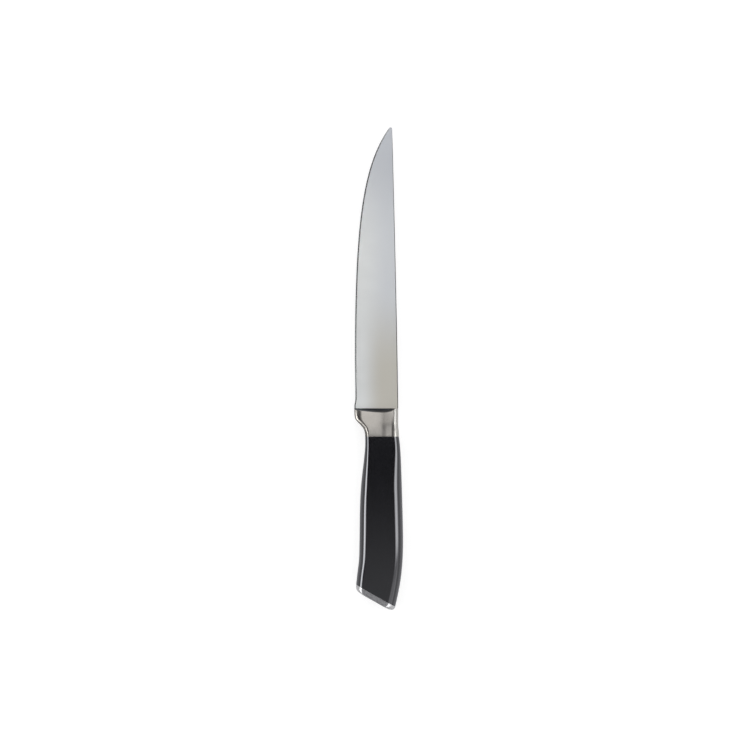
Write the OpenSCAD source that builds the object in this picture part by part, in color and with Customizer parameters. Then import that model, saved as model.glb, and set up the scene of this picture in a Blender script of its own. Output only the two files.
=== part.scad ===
// Carving knife with a full steel bolster, a moulded black handle in two halves and a slanted
// steel end cap. It lies on its flank: +Y runs to the tip, +X to the spine and +Z up.
// Inside the functions and modules, Y is 0 where the bolster meets the handle, and the blade's
// middle plane is Z = 0. laid_down() moves that frame to the one the knife is stored in.

/* [Blade] */
// Length of the blade in front of the bolster
blade_l = 200; // [150:5:260]
// Height of the blade where its edge runs straight
blade_w = 30.8; // [24:0.1:40]
// Thickness of the spine at the heel
blade_t = 2.4; // [1.8:0.1:3.2]
// Thickness of the spine near the tip
blade_tip_t = 1.3; // [1:0.1:1.6]
// Thickness of the flat grind where the cutting bevel starts
bevel_t = 0.35; // [0.3:0.05:0.7]
// Width of the cutting bevel
bevel_w = 1; // [0.5:0.1:1.6]
// Drop of the spine towards the tip
spine_drop = 4.3; // [0:0.1:9]
// Width of the tongue that seats in the bolster
tongue_w = 18; // [12:0.5:20]
// Length of the tongue that seats in the bolster
tongue_l = 8; // [5:0.5:9]

/* [Bolster] */
// Length of the bolster from the handle to the blade
bolster_l = 20; // [19:0.5:26]
// Thickness of the bolster where its coved shoulder starts
bolster_front_t = 13; // [9:0.2:15]
// Length of the coved shoulder
cove_l = 2.9; // [2:0.1:4]
// Steel left standing over each side of the blade at the foot of the cove
cove_lip = 0.2; // [0.1:0.05:0.4]
// Drop of the finger guard below the handle's edge side
guard_drop = 7.75; // [4:0.25:10]
// Width of the spigot that centres the handle
spigot_w = 16; // [14:0.5:18]
// Thickness of the spigot
spigot_t = 9; // [7:0.25:10]
// Length of the spigot
spigot_l = 4; // [2:0.5:6]

/* [Handle] */
// Length of the handle and end cap on the line through the middle of the bolster
handle_l = 120; // [100:1:145]
// Width of the handle at the bolster
handle_front_w = 24; // [22:0.5:28]
// Thickness of the handle from flank to flank
handle_t = 16; // [14:0.5:19]
// Swell of the handle's spine side at its fullest
back_swell = 2.95; // [0:0.05:5]
// Drop of the handle's edge side at the butt
butt_drop = 6.8; // [3:0.1:9]
// Corner radius along the edge side
edge_corner_r = 5.4; // [4:0.1:6.2]
// Corner radius along the spine side
spine_corner_r = 6.6; // [4:0.1:6.8]
// Corner radius of the edge side at the bolster
edge_front_r = 2.8; // [2:0.1:4]
// Corner radius of the spine side at the bolster
spine_front_r = 4; // [2:0.1:5]

/* [End cap] */
// Thickness of the end cap, square to its slanted face
cap_t = 4; // [3.6:0.1:6]
// Slant of the end cap from square
cap_slant = 29.4; // [10:0.2:36]
// Radius of the cap's corner on the edge side, seen from its flank
cap_edge_r = 5; // [2:0.2:5.2]
// Radius of the cap's corner on the spine side, seen from its flank
cap_spine_r = 2.8; // [1.5:0.1:3]
// Rounding round the rim of the cap's outer face
cap_rim_r = 0.8; // [0.4:0.1:1.4]
// Width of the lug that holds the cap
lug_w = 11; // [10:0.5:13]
// Thickness of the lug
lug_t = 7; // [6:0.25:9]
// Length of the lug from the seam at the middle of the tang
lug_l = 14; // [12:0.5:18]

/* [Tang and pins] */
// Thickness of the tang
tang_t = 3; // [2:0.25:4]
// Width of the tang where it leaves the bolster
tang_w = 13; // [11:0.5:14]
// Width of the tang at its tail
tang_tail_w = 8; // [6:0.5:8.5]
// Depth that the tang enters the bolster
tang_seat = 7; // [4:0.5:8]
// Depth that the tang's tail enters the cap's lug
tail_seat = 9; // [7:0.5:10]
// Radius of the two pins through the handle and the tang
tang_pin_r = 2; // [1.5:0.1:2.4]
// Depth that each of those pins reaches into a handle half, from the middle plane
pin_reach = 5; // [3.5:0.25:6]
// Radius of the pin through the cap's lug
cap_pin_r = 1.5; // [1.2:0.1:1.8]
// Radius of the pegs that line up the handle halves
peg_r = 1.5; // [1:0.1:2]
// Height of those pegs
peg_h = 2.5; // [1.5:0.25:4]
// Clearance round a piece in its pocket, slot or bore, on each side
gap = 0.05; // [0.02:0.01:0.15]

/* [Hidden] */
$fn = 48;

satin_steel = [0.76, 0.77, 0.78];
polished_steel = [0.66, 0.66, 0.67];
mill_steel = [0.55, 0.55, 0.56];
black_plastic = [0.07, 0.07, 0.075];

half_t = handle_t / 2;
front_x = handle_front_w / 2;
guard_x = front_x + guard_drop;
tip_y = bolster_l + blade_l;

function clamp01(v) = max(0, min(1, v));
function smooth(v) = let (u = clamp01(v)) u * u * (3 - 2 * u);

// Smooth curve through knots [t, value], with each slope from the chord between the neighbours.
function chord(k, i) = let (a = max(i - 1, 0), b = min(i + 1, len(k) - 1))
    (k[b][1] - k[a][1]) / (k[b][0] - k[a][0]);
function span(k, t, i = 0) = i >= len(k) - 2 || t <= k[i + 1][0] ? i : span(k, t, i + 1);
function curve(k, t) = let (
    i = span(k, t),
    d = k[i + 1][0] - k[i][0],
    u = (t - k[i][0]) / d)
    k[i][1] * (1 + 2 * u) * (1 - u) * (1 - u) + chord(k, i) * d * u * (1 - u) * (1 - u)
    + k[i + 1][1] * u * u * (3 - 2 * u) - chord(k, i + 1) * d * u * u * (1 - u);

// Quarter of a corner, from the side wall (turn 0) to the flank (turn 90), as [inset, height].
corner_steps = 8;
function corner(r, top) = [for (i = [0 : corner_steps]) let (turn = 90 * i / corner_steps)
    [r * (1 - cos(turn)), top - r + r * sin(turn)]];

// Solid skin over rings of equal length, each flat and convex, from the rear to the front.
module skin(rings) {
    n = len(rings[0]);
    last = len(rings) - 1;
    polyhedron(
        points = [for (ring = rings, p = ring) p],
        faces = concat(
            [[for (i = [0 : n - 1]) i]],
            [[for (i = [0 : n - 1]) last * n + n - 1 - i]],
            [for (r = [0 : last - 1], i = [0 : n - 1]) let (
                a = r * n + i,
                b = r * n + (i + 1) % n)
                each [[a, a + n, b], [b, a + n, b + n]]]),
        convexity = 4);
}

// A whole ring from its upper half, which runs from the edge side to the spine side.
function mirrored(upper) = concat(upper, [for (i = [len(upper) - 1 : -1 : 0])
    [upper[i][0], upper[i][1], -upper[i][2]]]);

module laid_down() translate([
    (guard_x - front_x - back_swell) / 2,
    -(tip_y + butt_low) / 2,
    half_t]) children();

// Handle outline: shares of the swell or drop against shares of the handle's length.
back_knots = [[0, 0], [0.058, 0.26], [0.13, 0.46], [0.34, 0.76], [0.58, 1], [0.7, 0.95],
    [0.8, 0.66], [0.875, 0.25], [0.967, -0.5], [1.06, -1.4]];
belly_knots = [[0, 0], [0.06, 0.01], [0.135, 0.13], [0.275, 0.41], [0.415, 0.545], [0.63, 0.6],
    [0.73, 0.655], [0.81, 0.82], [0.875, 0.945], [0.93, 1], [1.06, 1.03]];
function back_x(y) = front_x + back_swell * curve(back_knots, -y / handle_l);
function belly_x(y) = -front_x - butt_drop * curve(belly_knots, -y / handle_l);

// The corners open out over the first third of the handle.
corner_run = handle_l / 3;
function edge_r(y) = edge_front_r + (edge_corner_r - edge_front_r) * smooth(-y / corner_run);
function spine_r(y) = spine_front_r + (spine_corner_r - spine_front_r) * smooth(-y / corner_run);

// Where a line that keeps its inset from the outline meets a slanted plane through [0, y0].
function on_plane(side, inset, y0, slant, y, tries = 6) = let (
    x = side > 0 ? back_x(y) - inset : belly_x(y) + inset)
    tries == 0 ? [x, y] : on_plane(side, inset, y0, slant, y0 - x * tan(slant), tries - 1);

// Upper half of the handle's section on such a plane, as its two rounded corners.
function handle_section(y0, slant) = let (
    belly = corner(edge_r(y0), half_t),
    back = corner(spine_r(y0), half_t))
    concat(
        [for (c = belly) concat(on_plane(-1, c[0], y0, slant, y0), c[1])],
        [for (i = [corner_steps : -1 : 0]) concat(on_plane(1, back[i][0], y0, slant, y0), back[i][1])]);
// The same section closed by the handle's middle plane.
function half_section(y0, slant) = let (
    upper = handle_section(y0, slant),
    a = upper[0],
    b = upper[len(upper) - 1])
    concat([[a[0], a[1], 0]], upper, [[b[0], b[1], 0]]);

seam_y = -handle_l + cap_t / cos(cap_slant);

// Blade: straight edge, then one long curve up to a blunt tip, under a spine that drops a little.
spine_x = front_x - 0.55;
edge_x = spine_x - blade_w;
straight_l = blade_l * 0.175;
flare_l = 6;
tip_x = spine_x - spine_drop - 1.95;
tip_r = 0.8;
function blunt(y) = let (q = clamp01((y - tip_y) / tip_r + 1)) tip_r * (1 - sqrt(1 - q * q));
function spine_at(y) = spine_x - blunt(y)
    - spine_drop * pow(clamp01((y - bolster_l) / blade_l), 1.25);
function bezier(a, b, c, d, u) = a * pow(1 - u, 3) + 3 * b * u * pow(1 - u, 2)
    + 3 * c * u * u * (1 - u) + d * pow(u, 3);
function edge_curve(u) = bezier(
    [edge_x, bolster_l + straight_l],
    [edge_x, bolster_l + blade_l * 0.685],
    [edge_x + blade_w * 0.206, bolster_l + blade_l * 0.87],
    [tip_x, tip_y], u);
// At the heel the edge is left thick and runs out to the finger guard.
function heel(y) = 1 - smooth((y - bolster_l - 1) / flare_l);
function edge_straight(y) = let (
    flare = (-guard_x - edge_x - 0.45) * heel(y))
    [edge_x + 0.45 * (1 - clamp01((y - bolster_l) / straight_l)) + flare, y];

// The flank swells a little between the bevel and the spine, as a belt leaves it.
tip_run = blade_w / 2;
flank_steps = [0.22, 0.46, 0.72];
function swell(u) = 1 - pow(1 - u, 1.6);
function blade_ring(p) = let (
    y = p[1],
    e = p[0] + blunt(y) / 2,
    s = max(spine_at(y), e + 0.15),
    w = s - e,
    along = clamp01((y - bolster_l) / blade_l),
    full = blade_t + (blade_tip_t - blade_t) * along,
    t = (bevel_t + (full - bevel_t) * smooth(w / tip_run)) / 2,
    ease = min(0.4, w / 4, t / 2),
    bw = min(bevel_w, w / 4),
    thick = heel(y),
    at_bevel = bevel_t / 2 + (t - bevel_t / 2) * (thick * 0.85 + (1 - thick) * bw / w),
    at_edge = 0.03 + (t * 0.8 - 0.03) * thick)
    mirrored(concat(
        [[e, y, min(at_edge, at_bevel)], [e + bw, y, at_bevel]],
        [for (u = flank_steps)
            [e + bw + (w - bw - ease) * u, y, at_bevel + (t - at_bevel) * swell(u)]],
        [[s - ease, y, t], [s, y, t - ease]]));
straight_rings = 20;
curve_rings = 44;

module blade() color(satin_steel) laid_down() {
    skin(concat(
        [for (i = [0 : straight_rings - 1]) blade_ring(edge_straight(
            bolster_l + straight_l * pow(i / straight_rings, 1.6)))],
        [for (i = [0 : curve_rings]) blade_ring(edge_curve(1 - pow(1 - i / curve_rings, 1.5)))]));
    translate([tongue_x, bolster_l - tongue_l, -blade_t / 2])
        cube([tongue_w, tongue_l + 0.5, blade_t]);
}

// Bolster: a loft from the handle's section to a wide nose under the cutting edge. Its flank falls
// a little towards the spine.
spine_fall = 0.3;
tongue_x = (spine_x + edge_x) / 2 - tongue_w / 2 + 2;
front_half_t = bolster_front_t / 2;
flat_tilt = 16;
shoulder_y = bolster_l - cove_l;
guard_knots = [[0, 0], [0.14, 0.035], [0.285, 0.16], [0.425, 0.455], [0.5, 0.65], [0.57, 0.81],
    [0.64, 0.915], [0.75, 0.975], [1, 1]];
function guard_at(y) = front_x + guard_drop * curve(guard_knots, y / bolster_l);
function collar_x(y) = front_x + (spine_x - front_x) * smooth((y - 1) / 8);
function collar_half_t(y) = half_t - (half_t - front_half_t) * pow(max(0, y / shoulder_y), 1.5);
function bolster_ring(y) = let (
    t = collar_half_t(y),
    grow = smooth(y / shoulder_y),
    big = edge_front_r + 15 * grow,
    nose = edge_front_r - 0.8 * grow,
    back = corner(spine_front_r - 0.8 * grow, t - spine_fall * smooth(y / 8)),
    e = -guard_at(y),
    flank_x = e + big * sin(flat_tilt) + nose * (1 - sin(flat_tilt)),
    nose_x = e + nose,
    nose_z = t - big * (1 - cos(flat_tilt)) - nose * cos(flat_tilt))
    mirrored(concat(
        [for (i = [0 : corner_steps]) let (turn = (90 - flat_tilt) * i / corner_steps)
            [nose_x - nose * cos(turn), y, nose_z + nose * sin(turn)]],
        [for (i = [1 : corner_steps]) let (tilt = flat_tilt * (1 - i / corner_steps))
            [flank_x - big * sin(tilt), y, t - big * (1 - cos(tilt))]],
        [for (i = [corner_steps : -1 : 0]) [collar_x(y) - back[i][0], y, back[i][1]]]));
bolster_rings = 26;

cove_foot = blade_t / 2 + cove_lip;
cove_rise = front_half_t - cove_foot;
cove_r = (cove_l * cove_l + cove_rise * cove_rise) / (2 * cove_l);
// The coves follow a line that bows towards the blade on both sides of the flank's middle.
function bow(x) = x > 0.4 ? 0.0055 * pow(x - 0.4, 2.78) : 0.0157 * pow(0.4 - x, 1.6);
cove_start_x = -guard_x - 4;
cove_steps = 38;
// Section of the upper cove's cutter: an arc down to the foot, closed in front of the bolster.
function cove_ring(x) = let (y = shoulder_y + cove_r + bow(x)) concat(
    [for (turn = [60 : 4 : 156]) [x, y - cove_r * sin(turn), front_half_t + cove_r * cos(turn)]],
    [for (turn = [156, 60]) [x, y + 1, front_half_t + cove_r * cos(turn)]]);

module bolster() color(polished_steel) laid_down() difference() {
    union() {
        skin([for (i = [0 : bolster_rings]) bolster_ring(bolster_l * i / bolster_rings)]);
        translate([-spigot_w / 2, -spigot_l, -spigot_t / 2])
            cube([spigot_w, spigot_l + 1, spigot_t]);
    }
    for (side = [0, 1])
        mirror([0, 0, side]) skin([for (i = [0 : cove_steps])
            cove_ring(cove_start_x + (front_x + 2 - cove_start_x) * i / cove_steps)]);
    translate([tongue_x - gap, bolster_l - tongue_l - gap, -blade_t / 2 - gap])
        cube([tongue_w + 2 * gap, tongue_l + 1, blade_t + 2 * gap]);
    translate([-tang_w / 2 - gap, -spigot_l - 1, -tang_t / 2 - gap])
        cube([tang_w + 2 * gap, spigot_l + 1 + tang_seat + gap, tang_t + 2 * gap]);
}

// Tang: one flat bar, with a hole for each pin.
lug_front_y = seam_y + lug_l;
tail_y = lug_front_y - tail_seat;
cap_pin_y = lug_front_y - tail_seat / 2;
tang_pin_y = [-handle_l * 0.16, -handle_l * 0.52];
function tang_outline(extra) = [
    [-tang_w / 2 - extra, tang_seat + extra], [tang_w / 2 + extra, tang_seat + extra],
    [tang_w / 2 + extra, -spigot_l], [tang_tail_w / 2 + extra, tail_y - extra],
    [-tang_tail_w / 2 - extra, tail_y - extra], [-tang_w / 2 - extra, -spigot_l]];

module upright_pin(y, r, half_h) translate([0, y, -half_h]) cylinder(r = r, h = 2 * half_h);

module tang() color(mill_steel) laid_down() difference() {
    translate([0, 0, -tang_t / 2]) linear_extrude(tang_t) polygon(tang_outline(0));
    for (y = tang_pin_y) upright_pin(y, tang_pin_r + gap, tang_t);
    upright_pin(cap_pin_y, cap_pin_r + gap, tang_t);
}

module tang_pins() color(mill_steel) laid_down()
    for (y = tang_pin_y) upright_pin(y, tang_pin_r, pin_reach);

module cap_pin() color(mill_steel) laid_down() upright_pin(cap_pin_y, cap_pin_r, lug_t / 2);

// Handle halves: solid mouldings that meet on the blade's middle plane round the tang.
handle_rings = 44;
peg_y = [-handle_l * 0.28, -handle_l * 0.72];
function peg_x(y) = [belly_x(y) + 4.5, back_x(y) - 4.5];

module pegs(r, h) for (y = peg_y, x = peg_x(y)) translate([x, y, -h]) cylinder(r = r, h = h + 1);

// The upper half, from the bolster to the seam with the end cap.
module half_blank() skin([for (i = [0 : handle_rings]) let (s = 1 - i / handle_rings)
    half_section(seam_y * s, cap_slant * smooth((s - 0.3) / 0.7))]);

module half_pockets() {
    translate([0, 0, -1]) linear_extrude(tang_t / 2 + gap + 1) polygon(tang_outline(gap));
    translate([-spigot_w / 2 - gap, -spigot_l - gap, -1])
        cube([spigot_w + 2 * gap, spigot_l + 1, spigot_t / 2 + gap + 1]);
    translate([-lug_w / 2 - gap, seam_y - handle_front_w, -1])
        cube([lug_w + 2 * gap, lug_l + handle_front_w + gap, lug_t / 2 + gap + 1]);
    for (y = tang_pin_y) upright_pin(y, tang_pin_r + gap, pin_reach + gap);
}

module handle_left() color(black_plastic) laid_down() {
    difference() {
        half_blank();
        half_pockets();
    }
    pegs(peg_r, peg_h);
}

module handle_right() color(black_plastic) laid_down() difference() {
    mirror([0, 0, 1]) half_blank();
    mirror([0, 0, 1]) half_pockets();
    pegs(peg_r + gap, peg_h + gap);
}

// End cap: the handle's section carried on square to the seam, with its corners rounded off.
tail_share = 0.04;
function lean(side) = let (
    y = seam_y - side * front_x * tan(cap_slant),
    run = handle_l * tail_share,
    dx = side > 0 ? back_x(y - run) - back_x(y) : belly_x(y - run) - belly_x(y))
    let (u = dx * cos(cap_slant) + run * sin(cap_slant),
         d = run * cos(cap_slant) - dx * sin(cap_slant)) u / d;
// How far the rounded corner lies inside the straight side, at depth d below the seam.
function corner_in(d, r, m) = let (q = d - cap_t + r, h = sqrt(1 + m * m))
    q <= r * m / h ? 0 : r * h - m * q - sqrt(max(0, r * r - q * q));
function rim_in(d) = let (q = max(0, d - cap_t + cap_rim_r))
    cap_rim_r - sqrt(max(0, cap_rim_r * cap_rim_r - q * q));
along_butt = [cos(cap_slant), -sin(cap_slant), 0];
function cap_ring(d) = let (
    upper = handle_section(seam_y - d / cos(cap_slant), cap_slant),
    n = len(upper),
    rim = rim_in(d),
    edge_in = corner_in(d, cap_edge_r, lean(-1)) + rim,
    spine_in = corner_in(d, cap_spine_r, -lean(1)) + rim)
    mirrored([for (i = [0 : n - 1]) let (p = upper[i])
        [p[0], p[1], p[2] * (1 - rim / half_t)] + (i < n / 2 ? edge_in : -spine_in) * along_butt]);
cap_rings = 14;
// The lowest point of the rounded corner under the spine side.
butt_low = min([for (p = cap_ring(cap_t * 0.9)) p[1]]) - 0.1;

module end_cap() color(polished_steel) laid_down() difference() {
    union() {
        skin([for (i = [cap_rings : -1 : 0]) cap_ring(cap_t * sin(90 * i / cap_rings))]);
        intersection() {
            translate([-lug_w / 2, seam_y - handle_front_w, -lug_t / 2])
                cube([lug_w, lug_l + handle_front_w, lug_t]);
            translate([0, seam_y, 0])
                rotate([0, 0, -cap_slant])
                    translate([-handle_front_w, -cap_t / 2, -half_t])
                        cube([2 * handle_front_w, lug_l + handle_front_w, handle_t]);
        }
    }
    translate([-lug_w, tail_y - gap, -tang_t / 2 - gap])
        cube([2 * lug_w, lug_l + 1, tang_t + 2 * gap]);
    upright_pin(cap_pin_y, cap_pin_r + gap, lug_t);
}

blade();
bolster();
tang();
handle_left();
handle_right();
tang_pins();
end_cap();
cap_pin();
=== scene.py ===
"""Carving knife on a white table, seen from straight above.

The knife lies on its flank with its tip up in the picture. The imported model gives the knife's place
and its main sizes, and this script models the pieces that show: the ground blade, the polished
bolster, the two halves of the moulded handle and the slanted end cap.
"""

import logging
import math
from dataclasses import dataclass
from enum import Enum
from typing import Any, Callable, ClassVar, Sequence

import bmesh
import bpy
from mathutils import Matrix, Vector


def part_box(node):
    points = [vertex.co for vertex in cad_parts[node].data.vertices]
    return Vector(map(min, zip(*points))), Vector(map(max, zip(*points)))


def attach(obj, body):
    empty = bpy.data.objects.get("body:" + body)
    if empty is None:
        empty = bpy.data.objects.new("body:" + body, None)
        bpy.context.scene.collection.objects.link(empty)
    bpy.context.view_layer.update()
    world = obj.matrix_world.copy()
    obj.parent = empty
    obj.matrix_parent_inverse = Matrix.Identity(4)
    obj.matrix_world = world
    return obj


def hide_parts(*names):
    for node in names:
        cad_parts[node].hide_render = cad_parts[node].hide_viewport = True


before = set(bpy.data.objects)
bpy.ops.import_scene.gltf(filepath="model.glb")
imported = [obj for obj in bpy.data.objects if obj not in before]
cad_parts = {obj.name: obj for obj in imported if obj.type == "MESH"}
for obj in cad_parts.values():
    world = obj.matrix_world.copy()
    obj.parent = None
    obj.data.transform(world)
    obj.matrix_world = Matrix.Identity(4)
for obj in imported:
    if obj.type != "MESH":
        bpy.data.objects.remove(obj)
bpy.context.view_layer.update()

log = logging.getLogger("knife")

MM = 0.001
# Distance in metres within which two places count as the same.
CLOSE = 1e-3 * MM
# Slack in millimetres when faces are picked by their place.
SLACK = 0.01
Colour = tuple[float, float, float, float]
Triple = tuple[float, float, float]
Pair = tuple[float, float]
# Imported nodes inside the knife, which stay as they are and only take a finish.
INNER_NODES = ("tang", "tang_pins", "cap_pin")


def smooth(value: float) -> float:
    """Smooth step from 0 to 1 over the same range of the value."""
    u = max(0.0, min(1.0, value))
    return u * u * (3.0 - 2.0 * u)


def mix(a: float, b: float, share: float) -> float:
    """Value between a and b, at a share of the way."""
    return a + (b - a) * share


def steps(start: float, stop: float, count: int) -> list[float]:
    """Evenly spaced values from start to stop, both included."""
    return [mix(start, stop, i / (count - 1)) for i in range(count)]


def hex_colour(code: str) -> Colour:
    """Turn an sRGB hex colour to the linear colour that shaders take.

    Args:
        code: Six hex digits, such as "C8C9CB".

    Returns:
        Linear red, green, blue and an alpha of one.
    """
    parts = [int(code[i:i + 2], 16) / 255.0 for i in (0, 2, 4)]
    red, green, blue = (c / 12.92 if c <= 0.04045 else ((c + 0.055) / 1.055) ** 2.4 for c in parts)
    return red, green, blue, 1.0


@dataclass(frozen=True)
class Knots:
    """A smooth curve through a few points, with slopes from the chords of their neighbours."""

    points: tuple[Pair, ...]

    def slope(self, i: int) -> float:
        """Slope of the curve at one of its points.

        Args:
            i: Number of the point.

        Returns:
            Slope of the chord between the point's neighbours.
        """
        a = self.points[max(i - 1, 0)]
        b = self.points[min(i + 1, len(self.points) - 1)]
        return (b[1] - a[1]) / (b[0] - a[0])

    def at(self, t: float) -> float:
        """Value of the curve.

        Args:
            t: Place along the curve, in the measure of the points' first numbers.

        Returns:
            The value there. Past the ends the first or last stretch is carried on.
        """
        i = 0
        while i < len(self.points) - 2 and t > self.points[i + 1][0]:
            i += 1
        (t0, v0), (t1, v1) = self.points[i], self.points[i + 1]
        d = t1 - t0
        u = (t - t0) / d
        start = v0 * (1 + 2 * u) + self.slope(i) * d * u
        end = v1 * (3 - 2 * u) - self.slope(i + 1) * d * (1 - u)
        return start * (1 - u) ** 2 + end * u * u


@dataclass(frozen=True)
class Layout:
    """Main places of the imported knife, in millimetres from the joint of bolster and handle.

    X runs to the spine, Y to the tip and Z up from the blade's middle plane.
    """

    origin: Vector
    half_t: float
    bolster_l: float
    spine_x: float

    @classmethod
    def from_frame(cls) -> "Layout":
        """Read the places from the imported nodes' boxes.

        Returns:
            The places, in millimetres.
        """
        upper, lower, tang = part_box("handle_left"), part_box("handle_right"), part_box("tang")
        bolster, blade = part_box("bolster"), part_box("blade")
        origin = Vector(((tang[0].x + tang[1].x) / 2, upper[1].y, lower[1].z))
        return cls(
            origin=origin,
            half_t=(upper[1].z - origin.z) / MM,
            bolster_l=(bolster[1].y - origin.y) / MM,
            spine_x=(blade[1].x - origin.x) / MM,
        )

    def point(self, x: float, y: float, z: float = 0.0) -> Vector:
        """Point of the row's frame, in metres, from the knife's own millimetres."""
        return self.origin + Vector((x, y, z)) * MM

    def own(self, point: Vector) -> Vector:
        """The knife's own millimetres of a point of the row's frame."""
        return (point - self.origin) / MM


def edit_mesh() -> bmesh.types.BMesh:
    """Mesh of the active object, which is in edit mode."""
    return bmesh.from_edit_mesh(bpy.context.object.data)


def select_verts(wanted: Callable[[bmesh.types.BMVert], bool]) -> None:
    """Select only the wanted vertices of the mesh in edit mode.

    Args:
        wanted: Tells whether a vertex is selected.
    """
    bpy.ops.mesh.select_mode(type="VERT")
    bpy.ops.mesh.select_all(action="DESELECT")
    mesh = edit_mesh()
    for vert in mesh.verts:
        if wanted(vert):
            vert.select = True
    mesh.select_flush(True)


def select_edges(wanted: Callable[[bmesh.types.BMEdge], bool]) -> None:
    """Select only the wanted edges of the mesh in edit mode.

    Args:
        wanted: Tells whether an edge is selected.
    """
    bpy.ops.mesh.select_mode(type="EDGE")
    bpy.ops.mesh.select_all(action="DESELECT")
    for edge in edit_mesh().edges:
        if wanted(edge):
            edge.select_set(True)


def ease_edges(width: float, segments: int) -> None:
    """Round the selected edges over a width in millimetres."""
    bpy.ops.mesh.bevel(offset=width * MM, segments=segments, affect="EDGES", clamp_overlap=False)


def on_plane(edge: bmesh.types.BMEdge, point: Vector, normal: Vector) -> bool:
    """True if both ends of an edge lie in a plane."""
    return all(abs((vert.co - point).dot(normal)) < CLOSE for vert in edge.verts)


def make_active(piece: bpy.types.Object) -> None:
    """Select only one piece and make it the active one.

    Args:
        piece: The piece.
    """
    bpy.ops.object.select_all(action="DESELECT")
    piece.select_set(True)
    bpy.context.view_layer.objects.active = piece


def copy_of(source: bpy.types.Object, name: str) -> bpy.types.Object:
    """Duplicate an object with its own mesh.

    Args:
        source: The object.
        name: Name of the copy and of its mesh.

    Returns:
        The copy.
    """
    make_active(source)
    bpy.ops.object.duplicate(linked=False)
    bpy.context.object.name = name
    bpy.context.object.data.name = name
    return bpy.context.object


def cut_off(point: Vector, normal: Vector) -> None:
    """Cut off what lies past a plane and close the cut with a face.

    Args:
        point: A point of the plane, in metres.
        normal: Direction of the side that goes.
    """
    bpy.ops.mesh.select_all(action="SELECT")
    bpy.ops.mesh.bisect(plane_co=point, plane_no=normal, use_fill=True, clear_outer=True)


def combine(piece: bpy.types.Object, tool: bpy.types.Object, operation: str) -> None:
    """Combine a piece with a tool's shape, and remove the tool.

    Args:
        piece: The piece, which keeps the result.
        tool: The other shape. A finish that it has goes to the faces it leaves.
        operation: "DIFFERENCE" to cut the tool's shape out, or "UNION" to add it.
    """
    make_active(piece)
    change = piece.modifiers.new("change", "BOOLEAN")
    change.operation = operation
    change.solver = "EXACT"
    change.material_mode = "TRANSFER"
    change.object = tool
    bpy.ops.object.modifier_apply(modifier=change.name)
    bpy.data.objects.remove(tool)


def carve(piece: bpy.types.Object, *tools: bpy.types.Object) -> None:
    """Cut the shapes of some tools out of a piece."""
    for tool in tools:
        combine(piece, tool, "DIFFERENCE")


def weld(piece: bpy.types.Object, *tools: bpy.types.Object) -> None:
    """Add the shapes of some tools to a piece."""
    for tool in tools:
        combine(piece, tool, "UNION")


def paint_faces(piece: bpy.types.Object, material: bpy.types.Material,
                wanted: Callable[[Sequence[Vector]], bool]) -> None:
    """Give some faces of a piece another finish.

    Args:
        piece: The finished piece.
        material: The other finish.
        wanted: Tells from the corners of a face whether it takes this finish.
    """
    make_active(piece)
    piece.data.materials.append(material)
    bpy.ops.object.mode_set(mode="EDIT")
    bpy.ops.mesh.select_mode(type="FACE")
    bpy.ops.mesh.select_all(action="DESELECT")
    for face in edit_mesh().faces:
        if wanted([vert.co for vert in face.verts]):
            face.select_set(True)
    piece.active_material_index = len(piece.data.materials) - 1
    bpy.ops.object.material_slot_assign()
    bpy.ops.object.mode_set(mode="OBJECT")


def finish_shading(piece: bpy.types.Object, crease: float) -> None:
    """Shade a piece smooth with its creases kept, and let its large faces lead the shading.

    Args:
        piece: The finished piece.
        crease: Angle in degrees past which an edge stays crisp.
    """
    make_active(piece)
    bpy.ops.object.shade_smooth_by_angle(angle=math.radians(crease))
    weights = piece.modifiers.new("weights", "WEIGHTED_NORMAL")
    weights.keep_sharp = True
    bpy.ops.object.modifier_apply(modifier=weights.name)


@dataclass(frozen=True)
class Corner:
    """One corner of a ring's upper half, in millimetres, and the tangent length of its fillet."""

    x: float
    y: float
    z: float
    fillet: float = 0.0


def bridge_rings() -> None:
    """Bridge the loops of the mesh in edit mode, close both ends and leave edit mode."""
    bpy.ops.mesh.select_all(action="SELECT")
    bpy.ops.mesh.bridge_edge_loops(type="SINGLE")
    bpy.ops.mesh.select_all(action="SELECT")
    bpy.ops.mesh.fill_holes(sides=0)
    bpy.ops.mesh.normals_make_consistent(inside=False)
    bpy.ops.object.mode_set(mode="OBJECT")


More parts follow.
